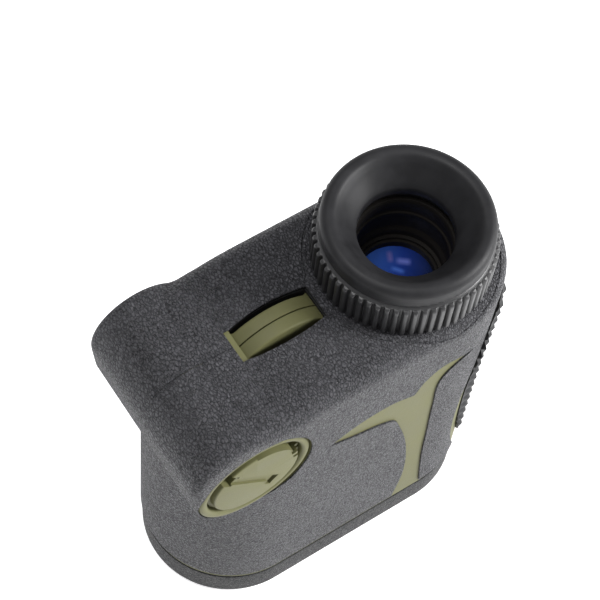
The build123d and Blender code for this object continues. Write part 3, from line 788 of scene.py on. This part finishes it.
tub_rings = [[(x, y, POCKET_FLOOR) for x, y in inner_line], [(x, y, tub_top(x)) for x, y in inner_line],
             [(x, y, tub_top(x)) for x, y in outer_line], [(x, y, POCKET_FLOOR - 1) for x, y in outer_line]]
place(made("pocket_tub", *loops(tub_rings), POCKET_SHADE_RUBBER), "housing", "inner_black_plastic")


def bar_half(name, side):
    """One half of the lanyard bar: crowned top, rounded outer edge, widened ends."""
    low, high = POCKET_LOW + 0.02, POCKET_HIGH - 0.02
    middle, half_span = (low + high) / 2, (high - low) / 2
    crest, end_z = 85.1, 81.9
    rise = crest - end_z
    radius = (half_span ** 2 + rise ** 2) / (2 * rise)
    rings = []
    for t in np.linspace(-1, 1, 61):
        x = middle + t * half_span
        top = crest - radius + math.sqrt(radius ** 2 - (x - middle) ** 2)
        width = 3.05 + 0.58 * max(0.0, (abs(t) - 0.86) / 0.14) ** 2
        under = 77.0 + 2.3 * (1 - t * t)
        section = rounded_line([(0.1, top - 0.5, 0), (0.16, top - 0.03, 0.04), (width, top - 0.14, 0.6),
                                (width + 0.1, under, 0.3), (0.1, under, 0)], steps=5)
        ring = [(x, side * a, b) for a, b in section]
        rings.append(ring if side > 0 else ring[::-1])
    place(made(name, *loops(rings), OLIVE), "housing", "olive_shell")


bar_half("lanyard_bar_near", -1)
bar_half("lanyard_bar_far", 1)

# ---- battery door -------------------------------------------------------------------------
PORT_INNER, PORT_SEAT = -15.0, -17.0   # Y of the ring's inner end and of the seat for the cap
PORT_BORE = 9.4
ring_line = rounded_line([
    (PORT_R, PORT_INNER, 0.2), (PORT_R, DOOR_Y + 0.35, 1.1), (PORT_R - 1.95, DOOR_Y + 0.35, 0.8),
    (10.85, PORT_SEAT, 0.1), (PORT_BORE, PORT_SEAT, 0.1), (PORT_BORE, PORT_INNER, 0.2),
])
place(lathe_y("battery_port_ring_mould", ring_line, OLIVE), "housing", "olive_shell", "battery_port_ring")

LID_TOP, LID_LOW, LID_BACK = DOOR_Y + 0.06, DOOR_Y + 1.5, -17.1
PLATEAU_R, LID_R = 9.8, 10.6
lid_line = rounded_line([
    (0.001, LID_BACK, 0), (0.001, LID_TOP, 0), (PLATEAU_R - 0.15, LID_TOP, 0.35),
    (PLATEAU_R, LID_LOW, 0.15), (LID_R, LID_LOW, 0.25), (LID_R, LID_BACK, 0.1),
], steps=4)
lid = lathe_y("battery_cap_lid", lid_line, OLIVE)


def lid_cut(name, outline, depth):
    """Cuts an outline, drawn about the cap's middle, into the lid down to a depth along Y."""
    cut(lid, prism(name, [(BARREL_X + u, BARREL_Z + v) for u, v in outline], DOOR_Y - 1, depth))


slot_turn = math.radians(-44)


def slot_outline(*corners):
    """Corners (along, across) the coin slot, turned to lie as the slot does."""
    c, s = math.cos(slot_turn), math.sin(slot_turn)
    return [(a * c - b * s, a * s + b * c) for a, b in corners]


slot_corners = ((-10.4, -1.0), (4.6, -1.0), (4.6, -1.9), (6.4, -1.9), (6.4, 1.0), (-10.4, 1.0))
mouth_corners = ((-10.6, -1.4), (-7.3, -1.4), (-7.3, 1.5), (-10.6, 1.5))
end_corners = ((5.6, -1.9), (6.4, -1.9), (6.4, 0.5), (5.6, 0.5))
lid_cut("coin_slot", slot_outline(*slot_corners), LID_TOP + 0.45)
lid_cut("slot_mouth", slot_outline(*mouth_corners), LID_TOP + 2.2)
lid_cut("slot_end", slot_outline(*end_corners), LID_TOP + 1.6)


def arc_band(r0, r1, a0, a1, steps):
    """Outline of part of a flat ring, between two angles in degrees."""
    angles = np.radians(np.linspace(a0, a1, steps))
    outer = [(r1 * math.cos(t), r1 * math.sin(t)) for t in angles]
    return outer + [(r0 * math.cos(t), r0 * math.sin(t)) for t in angles[::-1]]


lid_cut("notch_one", arc_band(8.5, 10.9, 4, 11, 6), LID_TOP + 2.2)
lid_cut("notch_two", arc_band(8.5, 10.9, 16, 26, 6), LID_TOP + 2.2)
lid_cut("rim_gap", arc_band(9.1, 10.9, 26, 92, 26), LID_TOP + 1.9)
finish_mesh(lid, OLIVE, 30)
place(lid, "battery_cap", "olive_shell", "battery_cap")

# The plug under the lid is the darker olive: painted shade in the slot and notches.
plug_line = rounded_line([
    (0.001, -17.05, 0), (9.3, -17.05, 0.1), (9.3, -16.6, 0.05), (8.4, -16.6, 0.05), (8.4, -15.6, 0.05),
    (9.3, -15.6, 0.05), (9.3, -14.85, 0.15), (7.3, -14.85, 0.1), (7.3, -15.6, 0.1), (0.001, -15.6, 0),
], steps=3)
place(lathe_y("battery_cap_plug", plug_line, OLIVE_PAINTED_SHADE, crease=30), "battery_cap", "olive_shell")

# ---- dioptre ring and eyecup --------------------------------------------------------------
RIBS = 62
RIB_LOW, RIB_HIGH = RING_Z + 0.35, 92.9
RING_TOP = 93.6
CUP_SEAT_R = 12.9               # radius at which the eyecup plugs into the ring
CROWN_R = RING_R - 0.4
GROOVE_R = CROWN_R - 0.85


def ribbed_ring():
    """Ring with rounded ribs that stop short of its plain shoulder."""
    samples = 14
    segments = RIBS * samples
    angle = np.arange(segments) * 2 * math.pi / segments
    phase = (np.arange(segments) % samples + 0.5) / samples * 2 - 1
    rib = np.clip(1 - (np.abs(phase) / 0.66) ** 4, 0, 1) ** 0.5
    levels = np.concatenate([
        RIB_LOW - 0.02 + 0.7 * (1 - np.cos(np.linspace(0, math.pi / 2, 6))),
        np.linspace(RIB_LOW + 1.4, RIB_HIGH - 1.4, 8),
        RIB_HIGH - 0.9 + 0.9 * np.sin(np.linspace(0, math.pi / 2, 9)),
    ])
    rows = [(TUBE_HOLE_R, RING_Z + 0.25, 0), (GROOVE_R - 0.4, RING_Z + 0.02, 0), (GROOVE_R, RING_Z + 0.2, 0)]
    for z in levels:
        low_end = np.clip((z - RIB_LOW) / 0.7, 0, 1)
        high_end = np.clip((RIB_HIGH - z) / 0.9, 0, 1)
        ends = math.sqrt(max(0.0, 1 - (1 - low_end) ** 2)) * math.sqrt(max(0.0, 1 - (1 - high_end) ** 2))
        rows.append((GROOVE_R, z, ends * (CROWN_R - GROOVE_R)))
    rows += [(GROOVE_R - 0.05, RIB_HIGH + 0.15, 0), (GROOVE_R - 0.3, RIB_HIGH + 0.45, 0),
             (GROOVE_R - 0.8, RING_TOP - 0.05, 0), (14.7, RING_TOP, 0), (CUP_SEAT_R, RING_TOP, 0),
             (CUP_SEAT_R, 91.0, 0), (TUBE_HOLE_R, 90.8, 0)]
    rings = []
    for r, z, height in rows:
        radius = r + height * rib
        across, deep = EYE_X + radius * np.cos(angle), radius * np.sin(angle)
        rings.append(np.stack([across, deep, np.full(segments, z)], -1))
    return made("dioptre_ring_ribbed", *loops(rings, closed_path=True), RING_RUBBER, 50)


place(ribbed_ring(), "dioptre", "ring_rubber", "dioptre_ring")

CUP_FOOT = 93.62
THROAT_R = CUP_R - 7.62
cup_line = np.vstack([
    rounded_line([(CUP_SEAT_R, CUP_FOOT, 0), (CUP_R - 0.1, CUP_FOOT, 0.25), (CUP_R, 94.0, 0.4),
                  (CUP_R - 0.02, 95.9, 0.5)], closed=False),
    spline((CUP_R - 0.02, 95.9), (CUP_R - 0.12, 96.7), (CUP_R - 0.62, 97.5), (CUP_R - 1.4, 97.94),
           (CUP_R - 2.1, 97.97), (CUP_R - 2.9, 97.72), (CUP_R - 3.8, 96.9), (CUP_R - 4.9, 95.6),
           (CUP_R - 6.2, 94.05), (CUP_R - 7.1, 92.9), (CUP_R - 7.5, 92.25), (THROAT_R, 91.6), steps=7),
    rounded_line([(THROAT_R, 91.6, 0), (THROAT_R, 90.6, 0.2), (CUP_R - 7.1, 90.35, 0.15),
                  (CUP_R - 7.1, 89.85, 0.15), (10.55, 89.85, 0.1), (10.55, 91.9, 0.1),
                  (CUP_SEAT_R, 91.9, 0.1)], closed=False),
])
place(lathe_z("eyecup_moulded", cup_line, CUP_RUBBER, 256, 50), "dioptre", "eyecup_rubber", "eyecup")

# ---- inside the eyepiece ------------------------------------------------------------------
CELL_R, CELL_LOW, CELL_TOP = 10.9, 62.0, 88.0
cell_line = rounded_line([              # up the outside, then down the stepped bore
    (CELL_R, CELL_LOW, 0.1), (CELL_R, CELL_TOP, 0.25), (9.95, CELL_TOP, 0.12), (9.75, 87.2, 0.1),
    (9.75, 85.6, 0.1), (9.95, 85.4, 0.1), (9.95, 83.6, 0.1), (9.6, 83.3, 0.12), (9.6, 82.7, 0.12),
    (9.9, 82.4, 0.1), (9.9, 78.0, 0.1), (9.3, 77.0, 0.1), (9.3, 75.4, 0.1), (8.55, 75.4, 0.1),
    (8.55, 62.8, 0.1), (7.6, 62.8, 0.1), (7.6, CELL_LOW, 0.1),
], steps=3)
place(lathe_z("ocular_cell_turned", cell_line, ANODISED, 160),
      "ocular_cell", "anodised_black", "ocular_lens_cell")


VIEW_RIGHT = -40.3              # the camera's right, in degrees round the eyepiece
PAINTED_REFLECTIONS = (                      # painted reflections: place, turn, half length, half width, colour
    (1.9, 5.0, 62, 1.2, 0.35, (0.16, 0.14, 0.42)),
    (3.6, 2.6, -38, 1.3, 0.6, (0.13, 0.17, 0.55)),
    (1.4, 1.5, -52, 1.2, 0.3, (0.07, 0.17, 0.62)),
    (-2.6, 1.2, 10, 1.2, 0.4, (0.10, 0.26, 0.75)),
)


def eye_glass():
    """The eye lens: deep blue coating with a painted light sweep, pale painted reflections of the elements
    behind it, and a faint painted glow.
    """
    s = Shader("eye_lens_coating_and_painted_light", (0.01, 0.03, 0.12), 0.05, 0.8)
    s.shader.inputs["Coat Weight"].default_value = 1.0
    s.shader.inputs["Coat Roughness"].default_value = 0.02
    s.shader.inputs["Specular Tint"].default_value = (0.35, 0.45, 1.0, 1)
    split = s.node("ShaderNodeSeparateXYZ")
    s.link(s.place, split.inputs[0])
    centre = (np.array([EYE_X, 0, 0]) + BASE) * MM

    def across(turn, u, v):
        """Millimetres along one direction from a point on the lens."""
        c, sn = math.cos(math.radians(turn)) / MM, math.sin(math.radians(turn)) / MM
        x = s.math("MULTIPLY", split.outputs[0], c)
        y = s.math("MULTIPLY", split.outputs[1], sn)
        return s.math("SUBTRACT", s.math("ADD", x, y), float(centre[0] * c + u * c * MM + v * sn * MM))

    def painted_reflection(u, v, turn, half_long, half_wide, soft):
        """Soft patch for one painted reflection: 1 inside, 0 outside."""
        a = s.math("ABSOLUTE", across(turn, u, v), 0)
        b = s.math("ABSOLUTE", across(turn + 90, u, v), 0)
        a = s.span(a, half_long - soft, half_long + soft, 1, 0)
        b = s.span(b, half_wide - soft, half_wide + soft, 1, 0)
        return s.math("MULTIPLY", a, b)

    # Painted light: the blue is brighter towards the camera's left and darker towards its right.
    painted_light_sweep = s.span(across(VIEW_RIGHT, 0, 0), -6.0, 7.0, 0.0, 1.0)
    warp = s.noise(0.14, detail=1.0)
    base = s.math("ADD", s.math("MULTIPLY", painted_light_sweep, 0.8), s.math("MULTIPLY", warp, 0.25))
    color = s.ramp(base, (0.1, (0.035, 0.10, 0.40)), (0.55, (0.012, 0.035, 0.22)),
                   (0.95, (0.006, 0.009, 0.02)))
    # Each patch mixes in a pale colour: a painted reflection of a lamp in the elements behind the lens.
    for u, v, turn, half_long, half_wide, tint in PAINTED_REFLECTIONS:
        mix = s.node("ShaderNodeMix", data_type="RGBA")
        s.link(painted_reflection(u, v, turn, half_long, half_wide, 0.5), mix.inputs["Factor"])
        s.link(color, mix.inputs[6])
        s.link(s.ramp(warp, (0.3, tuple(c * 0.8 for c in tint)), (0.7, tint)), mix.inputs[7])
        color = mix.outputs[2]
    s.color(color)
    # The lens colour also feeds a faint emission: a painted glow, though the lens is no lamp.
    s.link(color, s.shader.inputs["Emission Color"])
    s.shader.inputs["Emission Strength"].default_value = 0.06
    s.roughness(s.span(warp, 0.3, 0.7, 0.04, 0.08))
    return s.material


lens_low, lens_high = node_box("eye_lens")
LENS_BULGE = 0.8
lens_rim = lens_high[2] - LENS_BULGE
lens_radius = (lens_high[0] - lens_low[0]) / 2
front_face = [(r, lens_rim + LENS_BULGE * (1 - (r / lens_radius) ** 2))
              for r in np.linspace(lens_radius, 0, 14)]
back_face = [(r, lens_rim - 3.5 + 0.2 * (r / lens_radius) ** 2) for r in np.linspace(0, lens_radius, 6)]
place(disc_z("eye_lens_coated", back_face + front_face, eye_glass()),
      "ocular_cell", "coated_glass", "eye_lens")

# ---- grip pad and buttons -----------------------------------------------------------------
TEETH = 18
PITCH = 3.3
COLUMN_TURN = 10.07             # degrees between columns of pyramids
PAD_START = pad_low[2] + 0.4
PAD_OUTLINE = (
    spline((31.0, pad_low[2]), (28.4, 25.0), (27.3, 37.0), (27.6, 49.0), (29.4, 61.0), (31.6, pad_high[2]))
    + [(60.0, pad_high[2]), (60.0, pad_low[2])]
)


def pad_radius(z, turn):
    """Radius of the pad about the round end's axis: hollowed along its length, with small pyramids."""
    root = max(HALF + 0.55 + 0.00035 * (z - 32.0) ** 2, SKIN_OUT - STEP_DEPTH + flare_at(z) + 0.15)
    row = abs((z - PAD_START) / PITCH % 1 - 0.5)
    column = abs((turn / COLUMN_TURN + 0.5) % 1 - 0.5)
    point = np.clip(1 - np.maximum(row, column) / 0.44, 0, 0.94)
    ended = (z < PAD_START) | (z > PAD_START + TEETH * PITCH)
    return root + np.where(ended, 0, 1.05 * point)


def round_end(radius, turn, z):
    """Point at a radius and a turn in degrees about the axis of the +X round end."""
    return END + radius * math.cos(math.radians(turn)), radius * math.sin(math.radians(turn)), z


pad_levels = np.append(PAD_START - 0.33 + np.arange(TEETH * 10 + 2) * 0.33, pad_high[2])
pad_levels = np.unique(np.clip(np.append(pad_levels, pad_low[2]), pad_low[2], pad_high[2]))
pad_turns = np.arange(-64, 65) * COLUMN_TURN / 8
pad_rings = []
for z in pad_levels:
    outer_arc = [round_end(pad_radius(z, t), t, z) for t in pad_turns]
    inner_arc = [round_end(HALF + 0.02, t, z) for t in pad_turns[::-1]]
    pad_rings.append(outer_arc + inner_arc)
pad = made("grip_pad_ridged", *loops(pad_rings), PAD_RUBBER, 25)
cut(pad, prism("pad_trim", PAD_OUTLINE, -40, 40), "INTERSECT")


def pill(y_half, z_half, count=64):
    """Outline in the (y, z) plane: a slot along Z, or a circle when both halves are equal."""
    t = np.arange(count) * 2 * math.pi / count
    straight = z_half - y_half
    return np.stack([y_half * np.cos(t), y_half * np.sin(t) + np.sign(np.sin(t)) * straight], -1)


def pill_prism(name, z, y_half, z_half, low, high):
    rings = [[(x, a, z + b) for a, b in pill(y_half, z_half)] for x in (low, high)]
    return made(name, *loops(rings), INNER)


def key_cap(name, z, y_half, z_half, top):
    """Key with a rounded rim, a shallow dish and a raised bead in it."""
    base = END + HALF + 0.75
    steps = [(0.0, base), (0.0, top - 1.0), (0.08, top - 0.62), (0.28, top - 0.28), (0.6, top - 0.07),
             (1.0, top), (1.35, top - 0.05), (1.8, top - 0.22), (2.4, top - 0.4), (y_half - 1.7, top - 0.48),
             (y_half - 1.45, top - 0.3), (y_half - 1.15, top - 0.16), (y_half - 0.7, top - 0.1)]
    rings = [[(x, a, z + b) for a, b in pill(y_half - inset, z_half - inset)] for inset, x in steps]
    return made(name, *loops(rings), KEY_RUBBER, 60)


KEY_GAP = 0.35
for key_name in ("power_button", "mode_button"):
    key_low, key_high = node_box(key_name)
    key_z = (key_low[2] + key_high[2]) / 2
    y_half, z_half = (key_high[1] - key_low[1]) / 2, (key_high[2] - key_low[2]) / 2
    for piece in (pad, shell):
        cut(piece, pill_prism("key_hole", key_z, y_half + KEY_GAP, z_half + KEY_GAP,
                              END + HALF - 3, END + HALF + 9))
    key = key_cap(key_name + "_cap", key_z, y_half, z_half, key_high[0])
    place(key, key_name, "key_rubber", key_name)
finish_mesh(shell, OLIVE, 34)
finish_mesh(pad, PAD_RUBBER, 25)
place(pad, "housing", "grip_rubber", "top_grip_pad")


# ---- floor, light and camera --------------------------------------------------------------
def floor_piece():
    s = Shader("pale_floor", (0.9, 0.9, 0.9), 0.8, 0.2)
    s.shader.inputs["Emission Color"].default_value = (1, 1, 1, 1)
    s.shader.inputs["Emission Strength"].default_value = 0.55
    mesh = bpy.data.meshes.new("floor")
    mesh.from_pydata([(-6, -6, 0), (6, -6, 0), (6, 6, 0), (-6, 6, 0)], [], [(0, 1, 2, 3)])
    mesh.materials.append(s.material)
    ground = bpy.data.objects.new("floor", mesh)
    ground.location.z = CAD_LOW.z - 0.0001
    bpy.context.scene.collection.objects.link(ground)


def sky():
    """Soft grey all round and a little paler overhead, like a tent."""
    world = bpy.data.worlds.new("tent")
    bpy.context.scene.world = world
    world.use_nodes = True
    tree = world.node_tree
    background = tree.nodes["Background"]
    coords = tree.nodes.new("ShaderNodeTexCoord")
    split = tree.nodes.new("ShaderNodeSeparateXYZ")
    ramp = tree.nodes.new("ShaderNodeValToRGB")
    ramp.color_ramp.elements[0].color = (0.42, 0.42, 0.42, 1)
    ramp.color_ramp.elements[1].position = 0.8
    ramp.color_ramp.elements[1].color = (0.60, 0.60, 0.62, 1)
    tree.links.new(coords.outputs["Generated"], split.inputs[0])
    tree.links.new(split.outputs["Z"], ramp.inputs["Fac"])
    tree.links.new(ramp.outputs["Color"], background.inputs["Color"])


def softbox(name, direction, distance, size, power):
    data = bpy.data.lights.new(name, "AREA")
    data.shape = "RECTANGLE"
    data.size, data.size_y = size
    data.energy = power
    lamp = bpy.data.objects.new(name, data)
    lamp.location = (CAD_LOW + CAD_HIGH) / 2 + Vector(direction).normalized() * distance
    lamp.rotation_euler = (-Vector(direction)).to_track_quat("-Z", "Y").to_euler()
    bpy.context.scene.collection.objects.link(lamp)


floor_piece()
sky()
softbox("key", (0.8, -0.6, 0.5), 0.9, (0.35, 0.35), 12.5)
softbox("top", (-0.2, 0.1, 1.0), 1.0, (0.5, 0.3), 4.8)

AZIMUTH, ELEVATION, ROLL = math.radians(VIEW_RIGHT), math.radians(61.3), math.radians(8.0)
DISTANCE = 0.44
camera_data = bpy.data.cameras.new("camera")
camera_data.lens = 124.7
camera_data.sensor_width = 36.0
camera = bpy.data.objects.new("camera", camera_data)
bpy.context.scene.collection.objects.link(camera)
bpy.context.scene.camera = camera
back = Vector((math.sin(AZIMUTH) * math.cos(ELEVATION), -math.cos(AZIMUTH) * math.cos(ELEVATION),
               math.sin(ELEVATION)))
right = Vector((math.cos(AZIMUTH), math.sin(AZIMUTH), 0))
up = back.cross(right)
right, up = (right * math.cos(ROLL) + up * math.sin(ROLL), up * math.cos(ROLL) - right * math.sin(ROLL))
target = Vector((BASE + np.array([6.57, 15.45, 50.92])) * MM)
turned = Matrix((right, up, back)).transposed().to_4x4()
camera.matrix_world = Matrix.Translation(target + back * DISTANCE) @ turned
camera_data.clip_start, camera_data.clip_end = 0.01, 30
bpy.context.scene.view_settings.view_transform = "Standard"
